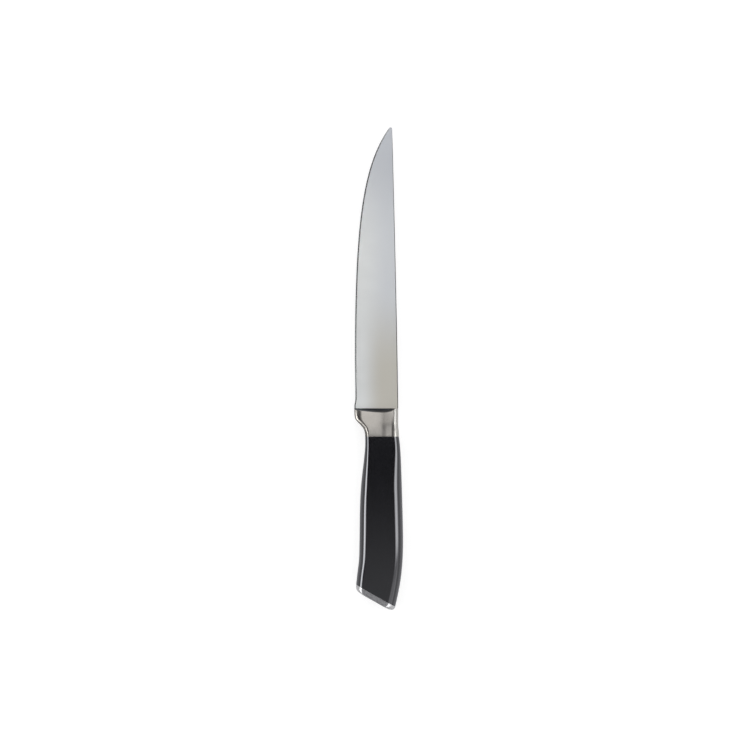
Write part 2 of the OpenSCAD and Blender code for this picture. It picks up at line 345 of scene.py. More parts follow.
class Loft:
    """A closed body made ring by ring, each ring a mirrored polygon with rounded corners."""

    # A ring's polygon is made here, clear of the body, and its corners are then moved in.
    STAGING = Vector((0.0, 0.0, 0.5))

    def __init__(self, name: str, layout: Layout, segments: int) -> None:
        """Prepare a body.

        Args:
            name: Name of the piece.
            layout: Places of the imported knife.
            segments: Faces on each fillet.
        """
        self.name = name
        self.layout = layout
        self.segments = segments
        self.started = False

    def ring(self, corners: Sequence[Corner]) -> None:
        """Add a ring.

        Args:
            corners: Corners of the upper half, from the edge side to the spine side. Each has its
                mirror image below the middle plane.
        """
        upper = [self.layout.point(c.x, c.y, c.z) for c in corners]
        lower = [self.layout.point(c.x, c.y, -c.z) for c in reversed(corners)]
        for start, target in zip(self._polygon(2 * len(corners)), upper + lower):
            select_verts(lambda v, p=start: (v.co - p).length < CLOSE)
            bpy.ops.transform.translate(value=target - start)
        for above, below, corner in zip(upper, reversed(lower), corners):
            if corner.fillet > 0:
                ends = (above, below)
                select_verts(lambda v, e=ends: min((v.co - end).length for end in e) < CLOSE)
                bpy.ops.mesh.bevel(
                    offset=corner.fillet * MM, segments=self.segments, affect="VERTICES",
                    profile=0.5, clamp_overlap=False)

    def _polygon(self, count: int) -> list[Vector]:
        """Add the polygon that a ring starts from.

        Args:
            count: How many corners it has.

        Returns:
            Its corners, in order round it.
        """
        if not self.started:
            bpy.ops.object.select_all(action="DESELECT")
            bpy.ops.mesh.primitive_circle_add(vertices=count, radius=MM, fill_type="NGON")
            bpy.context.object.name = self.name
            bpy.context.object.data.name = self.name
            bpy.ops.object.mode_set(mode="EDIT")
            bpy.ops.transform.translate(value=self.STAGING)
            self.started = True
        else:
            bpy.ops.mesh.primitive_circle_add(
                vertices=count, radius=MM, fill_type="NGON", location=self.STAGING)
        corners = [v.co.copy() for v in edit_mesh().verts if v.select]
        return sorted(corners, key=lambda p: math.atan2(p.x, p.y))

    def close(self, material: bpy.types.Material) -> bpy.types.Object:
        """Bridge the rings and close both ends.

        Args:
            material: Finish of the body.

        Returns:
            The body.
        """
        bpy.ops.mesh.select_all(action="SELECT")
        bpy.ops.mesh.delete(type="ONLY_FACE")
        bridge_rings()
        bpy.context.object.data.materials.append(material)
        return bpy.context.object


def add_node(tree: bpy.types.NodeTree, kind: str, inputs: dict[str | int, Any] | None = None,
             **settings: Any) -> bpy.types.Node:
    """Add a shader node with its settings, values and links.

    Args:
        tree: Tree that takes the node.
        kind: Type name of the node.
        inputs: Values or output sockets for its inputs, by the input's name or number.
        settings: Properties of the node itself.

    Returns:
        The new node.
    """
    node = tree.nodes.new(kind)
    for name, value in settings.items():
        setattr(node, name, value)
    for name, value in (inputs or {}).items():
        if isinstance(value, bpy.types.NodeSocket):
            tree.links.new(value, node.inputs[name])
        else:
            node.inputs[name].default_value = value
    return node


@dataclass(frozen=True)
class Grain:
    """Stretched noise, for grinding marks, ripple or clouding.

    size is one feature along X, Y and Z in millimetres.
    """

    size: Triple
    detail: float = 2.0

    def add(self, tree: bpy.types.NodeTree) -> bpy.types.NodeSocket:
        """Add the noise.

        Args:
            tree: Tree of the material.

        Returns:
            Socket of the noise's value, from 0 to 1.
        """
        place = add_node(tree, "ShaderNodeTexCoord")
        scale = tuple(1.0 / (s * MM) for s in self.size)
        scaled = add_node(tree, "ShaderNodeMapping", {
            "Vector": place.outputs["Object"], "Scale": scale})
        noise = add_node(tree, "ShaderNodeTexNoise", {
            "Vector": scaled.outputs["Vector"], "Scale": 1.0, "Detail": self.detail})
        return noise.outputs["Fac"]


@dataclass(frozen=True)
class PaintedShade:
    """Painted shade: a slow change of colour over a piece, between places in millimetres along X and
    Y.
    """

    colour: str
    across: Pair | None = None
    along: Pair | None = None

    def add(self, tree: bpy.types.NodeTree, tint: bpy.types.NodeSocket) -> bpy.types.NodeSocket:
        """Lead a tint over to this colour.

        Args:
            tree: Tree of the material.
            tint: Socket of the tint so far.

        Returns:
            Socket of the new tint.
        """
        place = add_node(tree, "ShaderNodeTexCoord")
        split = add_node(tree, "ShaderNodeSeparateXYZ", {"Vector": place.outputs["Object"]})
        share: Any = 1.0
        for axis, reach in (("X", self.across), ("Y", self.along)):
            if reach:
                low, high = (limit * MM for limit in reach)
                step = add_node(tree, "ShaderNodeMapRange", {
                    "Value": split.outputs[axis], "From Min": low, "From Max": high},
                    interpolation_type="SMOOTHSTEP")
                share = add_node(tree, "ShaderNodeMath", {
                    0: share, 1: step.outputs["Result"]}, operation="MULTIPLY").outputs[0]
        mixed = add_node(tree, "ShaderNodeMix", {
            0: share, 6: tint, 7: hex_colour(self.colour)}, data_type="RGBA")
        return mixed.outputs[2]


@dataclass(frozen=True)
class Finish:
    """A surface: two close colours in clouds, painted shade over them where given, grain in its
    roughness and a fine relief.

    Lengths are in millimetres. The defaults are those of bare metal.
    """

    # The noise seldom leaves these ranges, which are stretched to the full change.
    CLOUDY: ClassVar[Pair] = (0.3, 0.7)
    GRAINY: ClassVar[Pair] = (0.25, 0.75)

    name: str
    colours: tuple[str, str]
    clouds: Grain
    grain: Grain
    roughness: Pair
    relief: float
    metallic: float = 1.0
    specular: float = 0.5
    coat: float = 0.0
    coat_ior: float = 1.5
    coat_tint: str = "FFFFFF"
    coat_roughness: float = 0.03
    painted_shades: tuple[PaintedShade, ...] = ()

    def build(self) -> bpy.types.Material:
        """Make the material, which reads places on the piece in Object coordinates.

        Returns:
            The material.
        """
        material = bpy.data.materials.new(self.name)
        material.use_nodes = True
        tree = material.node_tree
        tree.nodes.clear()
        clouds = add_node(tree, "ShaderNodeMapRange", {
            "Value": self.clouds.add(tree), "From Min": self.CLOUDY[0], "From Max": self.CLOUDY[1]})
        tint = add_node(tree, "ShaderNodeMix", {
            0: clouds.outputs["Result"], 6: hex_colour(self.colours[0]),
            7: hex_colour(self.colours[1])}, data_type="RGBA").outputs[2]
        for painted_shade in self.painted_shades:
            tint = painted_shade.add(tree, tint)
        grain = self.grain.add(tree)
        rough = add_node(tree, "ShaderNodeMapRange", {
            "Value": grain, "From Min": self.GRAINY[0], "From Max": self.GRAINY[1],
            "To Min": self.roughness[0], "To Max": self.roughness[1]})
        relief = add_node(tree, "ShaderNodeBump", {
            "Height": grain, "Strength": 1.0, "Distance": self.relief * MM})
        surface = add_node(tree, "ShaderNodeBsdfPrincipled", {
            "Base Color": tint, "Roughness": rough.outputs["Result"],
            "Normal": relief.outputs["Normal"], "Metallic": self.metallic,
            "Specular IOR Level": self.specular, "Coat Weight": self.coat,
            "Coat IOR": self.coat_ior, "Coat Roughness": self.coat_roughness,
            "Coat Tint": hex_colour(self.coat_tint)})
        add_node(tree, "ShaderNodeOutputMaterial", {"Surface": surface.outputs["BSDF"]})
        return material


# Stainless steel, ground across the blade on a fine belt: a pale satin with faint cross lines. The
# real lines are about 0.05 mm apart and are drawn 0.8 mm wide so that the render can show them.
GROUND_STEEL = Finish(
    name="ground_stainless_steel",
    colours=("EAECEC", "EFF1F1"),
    clouds=Grain((30.0, 12.0, 30.0)),
    grain=Grain((9.0, 0.8, 9.0), detail=3.0),
    roughness=(0.36, 0.44),
    relief=0.0012,
    # These colours are painted shade: the blade darker towards the spine, darker and warmer there
    # near the bolster, and darker towards the tip.
    painted_shades=(
        PaintedShade("DFE2E6", across=(-12.0, 8.0)),
        PaintedShade("D5D2C9", across=(-13.0, 3.0), along=(60.0, -5.0)),
        PaintedShade("C6C9CF", along=(80.0, 170.0)),
    ),
)
# The cutting bevel, honed on a fine wheel: the same steel with a sharper gloss.
HONED_STEEL = Finish(
    name="honed_stainless_steel",
    colours=("BFC1C3", "C6C8CA"),
    clouds=Grain((12.0, 12.0, 12.0)),
    grain=Grain((0.5, 0.5, 0.5)),
    roughness=(0.16, 0.22),
    relief=0.0003,
)
# The same steel buffed to a near mirror: soft-edged reflections with a little haze.
POLISHED_STEEL = Finish(
    name="polished_stainless_steel",
    colours=("A5A19C", "ADA9A4"),
    clouds=Grain((6.0, 6.0, 6.0)),
    grain=Grain((0.7, 1.6, 1.0), detail=3.0),
    roughness=(0.12, 0.20),
    relief=0.0003,
    # These colours are painted shade and painted reflection bands: the flank darker towards the
    # handle, with a dark band, a paler one and a dark line by the back that darkens towards the
    # handle.
    painted_shades=(
        PaintedShade("93908C", along=(-37.0, -49.0)),
        PaintedShade("7C7976", across=(1.2, 3.4), along=(-37.0, -42.0)),
        PaintedShade("9A9793", across=(4.0, 6.4), along=(-37.0, -42.0)),
        PaintedShade("4C4A48", across=(8.7, 9.7), along=(-32.0, -43.0)),
        PaintedShade("A5A29E", across=(10.0, 10.8)),
    ),
)
# Painted shade: a near-black steel in the coves and along the blade's back and its eased edges, where
# the steel mirrors dark surroundings.
PAINTED_SHADE_STEEL = Finish(
    name="steel_with_painted_shade",
    colours=("36373B", "444549"),
    clouds=Grain((2.0, 2.0, 2.0), detail=3.0),
    grain=Grain((0.5, 0.5, 0.5), detail=4.0),
    roughness=(0.30, 0.42),
    relief=0.002,
)
# The cap's flank, buffed by hand together with the handle: a duller and more mottled polish.
BUFFED_STEEL = Finish(
    name="buffed_stainless_steel",
    colours=("CFCFD3", "DBDBDF"),
    clouds=Grain((2.5, 2.5, 2.5), detail=4.0),
    grain=Grain((1.2, 1.2, 1.2), detail=4.0),
    roughness=(0.17, 0.27),
    relief=0.0008,
)
# Corners blended by hand on a soft belt, at the cap and along the bolster's back: a satin that
# catches light from all round where the polish beside them shows dark. Its colour is paler than the
# rest of the steel as a painted highlight, and a little less pale along the bolster than at the cap.
SATIN_HIGHLIGHT_STEEL = Finish(
    name="satin_steel_with_painted_highlight",
    colours=("EFEFF1", "F5F5F7"),
    clouds=Grain((2.5, 2.5, 2.5), detail=4.0),
    grain=Grain((0.8, 0.8, 0.8), detail=4.0),
    roughness=(0.34, 0.42),
    relief=0.0008,
    painted_shades=(PaintedShade("E8E6E1", along=(-120.0, -100.0)),),
)
# Cold rolled steel, left as it comes from the mill: grey with dull streaks along the bar.
MILL_STEEL = Finish(
    name="mill_finish_steel",
    colours=("8E9092", "A3A5A7"),
    clouds=Grain((3.0, 20.0, 3.0), detail=4.0),
    grain=Grain((0.4, 8.0, 0.4), detail=4.0),
    roughness=(0.32, 0.48),
    relief=0.0015,
)
# Acetal plastic, injection moulded in a polished mould: deep black gloss with a faint ripple.
MOULDED_ACETAL = Finish(
    name="moulded_black_acetal",
    colours=("0B0B0E", "0F0F12"),
    clouds=Grain((5.0, 9.0, 5.0)),
    grain=Grain((0.9, 1.4, 0.9), detail=4.0),
    roughness=(0.07, 0.12),
    relief=0.0002,
    metallic=0.0,
    specular=1.0,
    coat=1.0,
    coat_ior=1.85,
    coat_tint="F2F3FF",
)


def hand_over(piece: bpy.types.Object, node: str, crease: float) -> None:
    """Shade a finished piece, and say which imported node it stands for.

    Args:
        piece: The finished piece.
        node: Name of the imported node.
        crease: Angle in degrees past which an edge stays crisp.
    """
    finish_shading(piece, crease)
    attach(piece, "root")
    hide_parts(node)
    log.info("%s: %d faces, in place of %s", piece.name, len(piece.data.polygons), node)


@dataclass(frozen=True)
class Joinery:
    """Shapes of the joints inside the knife, in the knife's own millimetres.

    The tang and its pins stay as they are imported, and every pocket clears them by the gap.
    """

    layout: Layout
    gap: float = 0.05
    overlap: float = 1.0
    rod_sides: int = 48
    tongue_x: float = -1.95
    tongue_half: Pair = (9.0, 1.2)
    tongue_run: Pair = (12.0, 20.4)
    tang_half: Triple = (6.5, 4.0, 1.5)
    tang_seat: float = 7.0
    tail_y: float = -110.409
    tail_slot_l: float = 15.0
    tang_pins: Pair = (-19.2, -62.4)
    tang_pin_r: float = 2.0
    pin_reach: float = 5.0
    cap_pin_y: float = -105.909
    cap_pin_r: float = 1.5
    spigot: Triple = (8.0, 4.0, 4.5)
    lug: Triple = (5.5, -101.409, 3.5)
    lug_l: float = 24.0
    lug_in: float = 2.0
    pegs: Pair = (-33.6, -86.4)
    peg_r: float = 1.5
    peg_h: float = 2.5
    peg_in: float = 4.5

    def block(self, low: Triple, high: Triple) -> bpy.types.Object:
        """Add a block.

        Args:
            low: Its corner with the lowest coordinates.
            high: Its corner with the highest coordinates.

        Returns:
            The block.
        """
        a, b = self.layout.point(*low), self.layout.point(*high)
        bpy.ops.object.select_all(action="DESELECT")
        bpy.ops.mesh.primitive_cube_add(size=1.0, location=(a + b) / 2, scale=b - a)
        bpy.ops.object.transform_apply(location=True, rotation=False, scale=True)
        return bpy.context.object

    def rod(self, x: float, y: float, low: float, high: float, radius: float) -> bpy.types.Object:
        """Add an upright rod.

        Args:
            x: Place of its axis.
            y: Place of its axis.
            low: Height of its lower end.
            high: Height of its upper end.
            radius: Its radius.

        Returns:
            The rod.
        """
        bpy.ops.object.select_all(action="DESELECT")
        bpy.ops.mesh.primitive_cylinder_add(
            vertices=self.rod_sides, radius=radius * MM, depth=(high - low) * MM,
            location=self.layout.point(x, y, (low + high) / 2))
        bpy.ops.object.transform_apply(location=True, rotation=False, scale=False)
        return bpy.context.object

    def tongue(self, extra: float = 0.0) -> bpy.types.Object:
        """Tongue of the blade, or its slot in the bolster.

        Args:
            extra: The gap for the slot, or nothing for the tongue.

        Returns:
            The shape.
        """
        half_w, half_t = (size + extra for size in self.tongue_half)
        low, high = self.tongue_run
        return self.block(
            (self.tongue_x - half_w, low - extra, -half_t), (self.tongue_x + half_w, high, half_t))

    def tang_slot(self) -> bpy.types.Object:
        """Slot of the tang in the bolster.

        Returns:
            Shape of the slot.
        """
        half_w, half_t = self.tang_half[0] + self.gap, self.tang_half[2] + self.gap
        return self.block(
            (-half_w, -self.spigot[1] - self.overlap, -half_t),
            (half_w, self.tang_seat + self.gap, half_t))

    def spigot_block(self, extra: float = 0.0) -> bpy.types.Object:
        """Spigot of the bolster, or its pocket in the handle.

        Args:
            extra: The gap for the pocket, or nothing for the spigot.

        Returns:
            The shape.
        """
        half_w, length, half_t = (size + extra for size in self.spigot)
        return self.block((-half_w, -length, -half_t), (half_w, self.overlap, half_t))

    def tang_pocket(self) -> bpy.types.Object:
        """Tapered pocket of the tang in the handle.

        Returns:
            Shape of the pocket.
        """
        half_w, half_t = self.tang_half[0] + self.gap, self.tang_half[2] + self.gap
        tail_y = self.tail_y - self.gap
        pocket = self.block((-half_w, tail_y, -half_t), (half_w, -self.spigot[1], half_t))
        bpy.ops.object.mode_set(mode="EDIT")
        end = self.layout.point(0.0, tail_y)
        select_verts(lambda v: abs(v.co.y - end.y) < CLOSE)
        taper = (self.tang_half[1] + self.gap) / half_w
        bpy.ops.transform.resize(value=(taper, 1.0, 1.0), center_override=end)
        bpy.ops.object.mode_set(mode="OBJECT")
        return pocket

    def lug_pocket(self, seam_y: float) -> bpy.types.Object:
        """Pocket of the cap's lug in the handle.

        Args:
            seam_y: Where the seam of handle and cap crosses the middle line.

        Returns:
            Shape of the pocket.
        """
        half_w, half_t = self.lug[0] + self.gap, self.lug[2] + self.gap
        return self.block(
            (-half_w, seam_y - self.lug_l, -half_t), (half_w, self.lug[1] + self.gap, half_t))

    def lug_block(self, seam_y: float, slant: float) -> bpy.types.Object:
        """Lug of the cap, which ends on the slant inside the cap.

        Args:
            seam_y: Where the seam of handle and cap crosses the middle line.
            slant: Angle of the seam in degrees.

        Returns:
            The lug.
        """
        lug = self.block((-self.lug[0], seam_y - self.lug_l, -self.lug[2]), self.lug)
        turn = math.radians(slant)
        inward = Vector((-math.sin(turn), -math.cos(turn), 0.0))
        bpy.ops.object.mode_set(mode="EDIT")
        cut_off(self.layout.point(0.0, seam_y) + self.lug_in * MM * inward, inward)
        bpy.ops.object.mode_set(mode="OBJECT")
        return lug

    def tail_slot(self) -> bpy.types.Object:
        """Slot of the tang's tail in the cap's lug.

        Returns:
            Shape of the slot.
        """
        reach, half_t = 2 * self.lug[0], self.tang_half[2] + self.gap
        low = self.tail_y - self.gap
        return self.block((-reach, low, -half_t), (reach, low + self.tail_slot_l, half_t))

    def cap_bore(self) -> bpy.types.Object:
        """Bore of the pin that holds the cap's lug."""
        reach = 2 * self.lug[2]
        return self.rod(0.0, self.cap_pin_y, -reach, reach, self.cap_pin_r + self.gap)

    def pin_bores(self) -> list[bpy.types.Object]:
        """Blind bores of the two pins through the handle."""
        reach, radius = self.pin_reach + self.gap, self.tang_pin_r + self.gap
        return [self.rod(0.0, y, -reach, reach, radius) for y in self.tang_pins]

    def peg_rods(self, grip: "Grip", extra: float = 0.0) -> list[bpy.types.Object]:
        """Pegs under the handle's upper half, or their sockets in the lower one.

        Args:
            grip: Outline of the handle, from which the pegs keep their distance.
            extra: The gap for the sockets, or nothing for the pegs.

        Returns:
            One rod for each peg.
        """
        places = [
            (x, y) for y in self.pegs
            for x in (grip.belly_x(y) + self.peg_in, grip.back_x(y) - self.peg_in)
        ]
        low, radius = -self.peg_h - extra, self.peg_r + extra
        return [self.rod(x, y, low, self.overlap, radius) for x, y in places]


@dataclass(frozen=True)
class Blade:
    """Ground blade with a long straight heel, a curved edge, a bevel and an eased spine.

    Sizes are in the knife's own millimetres. The edge leaves the finger guard at the heel, then
    rises a little over the straight stretch, and the control points of curve lead it to the tip.
    A section runs from edge_half at the edge over the bevel to the convex flank, which is ground
    thinner where the blade is narrower than grind_w.
    """

    layout: Layout
    root_y: float = 20.0
    length: float = 200.0
    edge_x: float = -19.35
    edge_rise: float = 0.45
    heel_x: float = -19.75
    heel_y: float = 21.0
    lift_run: float = 6.0
    straight_l: float = 35.0
    heel_stations: tuple[float, ...] = (
        20.0, 20.6, 21.0, *steps(21.5, 27.0, 12), *steps(29.0, 55.0, 10))
    curve: tuple[Pair, ...] = (
        (edge_x, 55.0), (edge_x, 157.0), (edge_x + 6.345, 194.0), (5.2, 220.0))
    curve_stations: int = 48
    crowding: float = 1.5
    spine_drop: float = 4.3
    spine_power: float = 1.25
    full_t: float = 2.4
    tip_t: float = 1.3
    tip_r: float = 0.8
    grind_w: float = 15.4
    bevel_w: float = 1.0
    bevel_t: float = 0.35
    bevel_rise: float = 0.18
    edge_half: float = 0.03
    heel_share: float = 0.4
    heel_run: float = 14.0
    ease_w: float = 0.55
    convex: float = 1.6
    flank_shares: tuple[float, ...] = (0.0, 0.22, 0.46, 0.72, 1.0)

    def along(self, y: float) -> float:
        """Share of the way from the bolster to the tip."""
        return (y - self.root_y) / self.length

    def blunt(self, y: float) -> float:
        """How far the tip's rounding has come in from the spine."""
        share = max(0.0, (y - self.root_y - self.length) / self.tip_r + 1.0)
        return self.tip_r * (1.0 - math.sqrt(max(0.0, 1.0 - share ** 2)))

    def spine_at(self, y: float) -> float:
        """Spine line."""
        drop = self.spine_drop * max(0.0, self.along(y)) ** self.spine_power
        return self.layout.spine_x - drop - self.blunt(y)

    def heel(self, y: float) -> float:
        """Share of the edge's run-out to the finger guard, from 1 at the bolster to 0."""
        return 1.0 - smooth((y - self.heel_y) / self.lift_run)

    def bevel_at(self, width: float) -> float:
        """Width of the cutting bevel where the blade has this width."""
        return min(self.bevel_w, width / 4)

    def edge_line(self) -> list[Pair]:
        """Cutting edge: a straight heel, and then a cubic curve up to the tip.

        Returns:
            Points (y, x) from the bolster to the tip, closer where the edge turns.
        """
        points = []
        for y in self.heel_stations:
            rise = self.edge_rise * (1.0 - (y - self.root_y) / self.straight_l)
            lift = (self.heel_x - self.edge_x - self.edge_rise) * self.heel(y)
            points.append((y, self.edge_x + rise + lift))
        for share in steps(0.0, 1.0, self.curve_stations)[1:]:
            u = 1.0 - (1.0 - share) ** self.crowding
            weights = ((1 - u) ** 3, 3 * u * (1 - u) ** 2, 3 * u * u * (1 - u), u ** 3)
            x = sum(w * p[0] for w, p in zip(weights, self.curve))
            y = sum(w * p[1] for w, p in zip(weights, self.curve))
            points.append((y, x + self.blunt(y) / 2))
        return points

    def corners(self, y: float, edge: float) -> list[Corner]:
        """Section of the blade: edge, bevel, convex flank and eased spine.

        Args:
            y: Place of the section.
            edge: Place of the cutting edge there, along X.

        Returns:
            Corners of the section's upper half.
        """
        spine = self.spine_at(y)
        width = spine - edge
        full = mix(self.full_t, self.tip_t, self.along(y))
        half = mix(self.bevel_t, full, smooth(width / self.grind_w)) / 2
        ease = min(self.ease_w, width / 4, half / 2)
        bevel = self.bevel_at(width)
        thick = self.heel_share * (1.0 - smooth((y - self.root_y) / self.heel_run))
        at_bevel = mix(self.bevel_t / 2, half, mix(bevel / width, 1.0, thick))
        at_edge = max(self.edge_half, at_bevel - self.bevel_rise)
        low, high = edge + bevel, spine - ease
        flank = [
            Corner(mix(low, high, u), y, mix(at_bevel, half, 1 - (1 - u) ** self.convex))
            for u in self.flank_shares
        ]
        return [Corner(edge, y, at_edge), *flank, Corner(spine, y, half - ease)]

    def build(self, ground: bpy.types.Material, honed: bpy.types.Material,
              dark: bpy.types.Material) -> None:
        """Model the blade.

        Args:
            ground: Finish of the flat flanks.
            honed: Finish of the cutting bevel.
            dark: Painted shade of the back and its eased edges, a near-black steel.
        """
        loft = Loft("knife_blade", self.layout, segments=1)
        for y, edge in self.edge_line():
            loft.ring(self.corners(y, edge))
        piece = loft.close(ground)
        weld(piece, Joinery(self.layout).tongue())
        hand_over(piece, "blade", crease=6.0)
        line = self.edge_line()
        paint_faces(piece, honed, lambda face: self.on_bevel(line, face))
        # The back and its eased edges take a near-black steel as painted shade.
        paint_faces(piece, dark, self.on_back)

    def on_bevel(self, line: list[Pair], face: Sequence[Vector]) -> bool:
        """Tell whether a face belongs to the cutting bevel.

        Args:
            line: Points (y, x) of the cutting edge.
            face: Corners of the face.

        Returns:
            True if all corners lie on the bevel.
        """
        for place in map(self.layout.own, face):
            edge = min(line, key=lambda point: abs(point[0] - place.y))[1]
            if place.x > edge + self.bevel_at(self.spine_at(place.y) - edge) + SLACK:
                return False
        return True

    def on_back(self, face: Sequence[Vector]) -> bool:
        """True if a face belongs to the back of the blade or to its eased edges."""
        places = map(self.layout.own, face)
        return all(p.x > self.spine_at(p.y) - self.ease_w - SLACK for p in places)


@dataclass(frozen=True)
class Bolster:
    """Polished bolster that widens to a finger guard and ends in two coves at the blade.

    Sizes are in the knife's own millimetres. The coves are cut along a line that bows towards the
    blade on both sides, each side with its own factor and power. A soft crease runs along each
    flank on the spine's side of the middle, as places along X and how far the flank falls there.
    """

    layout: Layout
    stations: int = 61
    front_x: float = 12.0
    collar_in: float = 0.55
    collar_y: float = 1.0
    collar_run: float = 8.0
    shoulder_y: float = 17.1
    shoulder_t: float = 6.5
    shoulder_in: float = 1.5
    shoulder_power: float = 1.5
    guard_drop: float = 7.75
    guard: Knots = Knots((
        (0, 0), (.14, .035), (.285, .16), (.425, .455), (.5, .65), (.57, .81), (.64, .915),
        (.75, .975), (1, 1)))
    tilt: float = 16.0
    nose_r: float = 2.8
    nose_shrink: float = 1.3
    flank_grow: float = 15.0
    fillet_share: float = 0.97
    cove_depth: float = 5.1
    cove_run: float = 2.9
    cove_reach: Pair = (-24.0, 14.0)
    cove_rings: int = 39
    cove_sides: int = 128
    bow_x: float = 0.4
    bow_edge: Pair = (0.0157, 1.6)
    bow_spine: Pair = (0.0055, 2.78)
    crease: tuple[Pair, ...] = ((-6.0, 0.0), (-2.5, 0.05), (1.0, 0.15), (3.3, 0.36))
    spine_fall: float = 0.56
    fall_start: float = 0.3
    fall_run: float = 10.0
    back_w: float = 3.0
    back_r: float = 4.0
    back_shrink: float = 0.8

    def collar(self, y: float) -> float:
        """Outline on the spine's side."""
        return self.front_x - self.collar_in * smooth((y - self.collar_y) / self.collar_run)

    def on_back(self, face: Sequence[Vector]) -> bool:
        """True if a face belongs to the rounded side along the spine."""
        return all(p.x > self.collar(p.y) - self.back_w for p in map(self.layout.own, face))

    def corners(self, y: float) -> list[Corner]:
        """Section of the bolster, from the nose under the edge to the spine.

        Its side below the flank is one large arc that turns into the small one of the nose.

        Args:
            y: Place of the section.

        Returns:
            Corners of the section's upper half.
        """
        edge = -self.front_x - self.guard_drop * self.guard.at(y / self.layout.bolster_l)
        collar = self.collar(y)
        half = self.layout.half_t - self.shoulder_in * (y / self.shoulder_y) ** self.shoulder_power
        grow = smooth(y / self.shoulder_y)
        big, nose = self.nose_r + self.flank_grow * grow, self.nose_r - self.nose_shrink * grow
        sine, cosine = math.sin(math.radians(self.tilt)), math.cos(math.radians(self.tilt))
        flank = edge + big * sine + nose * (1 - sine)
        nose_z = half - big * (1 - cosine) - nose * cosine
        turn = self.fillet_share * big * math.tan(math.radians(self.tilt / 2))
        nose_turn = self.fillet_share * nose * math.tan(math.radians((90.0 - self.tilt) / 2))
        fall = mix(self.fall_start, 1.0, smooth(y / self.fall_run))
        return [
            Corner(edge, y, nose_z + nose_turn, nose_turn),
            Corner(flank - turn, y, half, turn),
            *[Corner(x, y, half - drop * fall) for x, drop in self.crease],
            Corner(collar, y, half - self.spine_fall * fall, self.back_r - self.back_shrink * grow),
        ]

    def bow(self, x: float) -> float:
        """How far a cove's line has moved towards the blade.

        Args:
            x: Place along the line.

        Returns:
            The move, which grows from the line's top both ways.
        """
        aside = x - self.bow_x
        factor, power = self.bow_spine if aside > 0 else self.bow_edge
        return factor * abs(aside) ** power

    def cove(self, side: int) -> bpy.types.Object:
        """Cutter for the cove on one side of the blade: a round bar that follows the bow.

        Args:
            side: 1 for the upper side, -1 for the lower one.

        Returns:
            The cutter.
        """
        radius = (self.cove_run ** 2 + self.cove_depth ** 2) / (2 * self.cove_run)
        bpy.ops.object.select_all(action="DESELECT")
        for x in steps(*self.cove_reach, self.cove_rings):
            y = self.shoulder_y + radius + self.bow(x)
            bpy.ops.mesh.primitive_circle_add(
                vertices=self.cove_sides, radius=radius * MM, rotation=(0, math.pi / 2, 0),
                location=self.layout.point(x, y, side * self.shoulder_t))
            if bpy.context.mode == "OBJECT":
                bpy.ops.object.transform_apply(location=True, rotation=True)
                bpy.ops.object.mode_set(mode="EDIT")
        bridge_rings()
        return bpy.context.object

    def build(self, material: bpy.types.Material, satin_and_highlight: bpy.types.Material,
              dark: bpy.types.Material) -> None:
        """Model the bolster.

        Args:
            material: Finish of the bolster.
            satin_and_highlight: Finish of the rounded side along the spine, a rough steel with a
                paler colour as a painted highlight.
            dark: Painted shade inside the coves, a near-black steel.
        """
        loft = Loft("knife_bolster", self.layout, segments=10)
        for y in steps(0.0, self.layout.bolster_l, self.stations):
            loft.ring(self.corners(y))
        piece = loft.close(material)
        # The rounded side along the spine takes the paler steel, a painted highlight.
        paint_faces(piece, satin_and_highlight, self.on_back)
        for side in (1, -1):
            cutter = self.cove(side)
            # The coves take a near-black steel as painted shade.
            cutter.data.materials.append(dark)
            carve(piece, cutter)
        joints = Joinery(self.layout)
        weld(piece, joints.spigot_block())
        carve(piece, joints.tongue(joints.gap), joints.tang_slot())
        hand_over(piece, "bolster", crease=30.0)


class Half(Enum):
    """The two halves of the handle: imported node, piece name and the side it lies on."""

    UPPER = ("handle_left", "handle_shell_upper", 1)
    LOWER = ("handle_right", "handle_shell_lower", -1)


@dataclass(frozen=True)
class Grip:
    """Outline of the handle and the cap: back, belly, corner fillets and the slanted butt.

    Sizes are in the knife's own millimetres, and slant is in degrees. Each fillet is given where
    the handle begins and past corner_run.
    """

    layout: Layout
    length: float = 120.0
    front_x: float = 12.0
    belly_r: Pair = (2.8, 5.4)
    back_r: Pair = (4.0, 6.6)
    corner_run: float = 40.0
    back_swell: float = 2.95
    butt_drop: float = 6.8
    slant: float = 29.4
    cap_t: float = 4.0
    tries: int = 30
    back: Knots = Knots((
        (0, 0), (.058, .26), (.13, .46), (.34, .76), (.58, 1), (.7, .95), (.8, .66), (.875, .25),
        (.967, -.5), (1.06, -1.4)))
    belly: Knots = Knots((
        (0, 0), (.06, .01), (.135, .13), (.275, .41), (.415, .545), (.63, .6), (.73, .655),
        (.81, .82), (.875, .945), (.93, 1), (1.06, 1.03)))

    def back_x(self, y: float) -> float:
        """Back line, on the spine's side."""
        return self.front_x + self.back_swell * self.back.at(-y / self.length)

    def belly_x(self, y: float) -> float:
        """Belly line, on the edge's side."""
        return -self.front_x - self.butt_drop * self.belly.at(-y / self.length)

    def meet(self, line: Callable[[float], float], y: float, turn: float) -> Pair:
        """Point where a slanted station meets an outline, found by repeated tries.

        Args:
            line: The outline.
            y: Where the station crosses the middle line.
            turn: Angle of the station in degrees.

        Returns:
            Its x and y.
        """
        place = y
        for _ in range(self.tries):
            place = y - line(place) * math.tan(math.radians(turn))
        return line(place), place

    def corners(self, y: float, turn: float) -> list[Corner]:
        """Section of the grip at a slanted station.

        Args:
            y: Where the station crosses the middle line.
            turn: Angle of the station in degrees.

        Returns:
            Corners of the section's upper half.
        """
        belly, back = self.meet(self.belly_x, y, turn), self.meet(self.back_x, y, turn)
        along = smooth(-y / self.corner_run)
        return [
            Corner(*belly, self.layout.half_t, mix(*self.belly_r, along)),
            Corner(*back, self.layout.half_t, mix(*self.back_r, along)),
        ]

    @property
    def seam_y(self) -> float:
        """Where the seam crosses the middle line."""
        return -self.length + self.cap_t / math.cos(math.radians(self.slant))


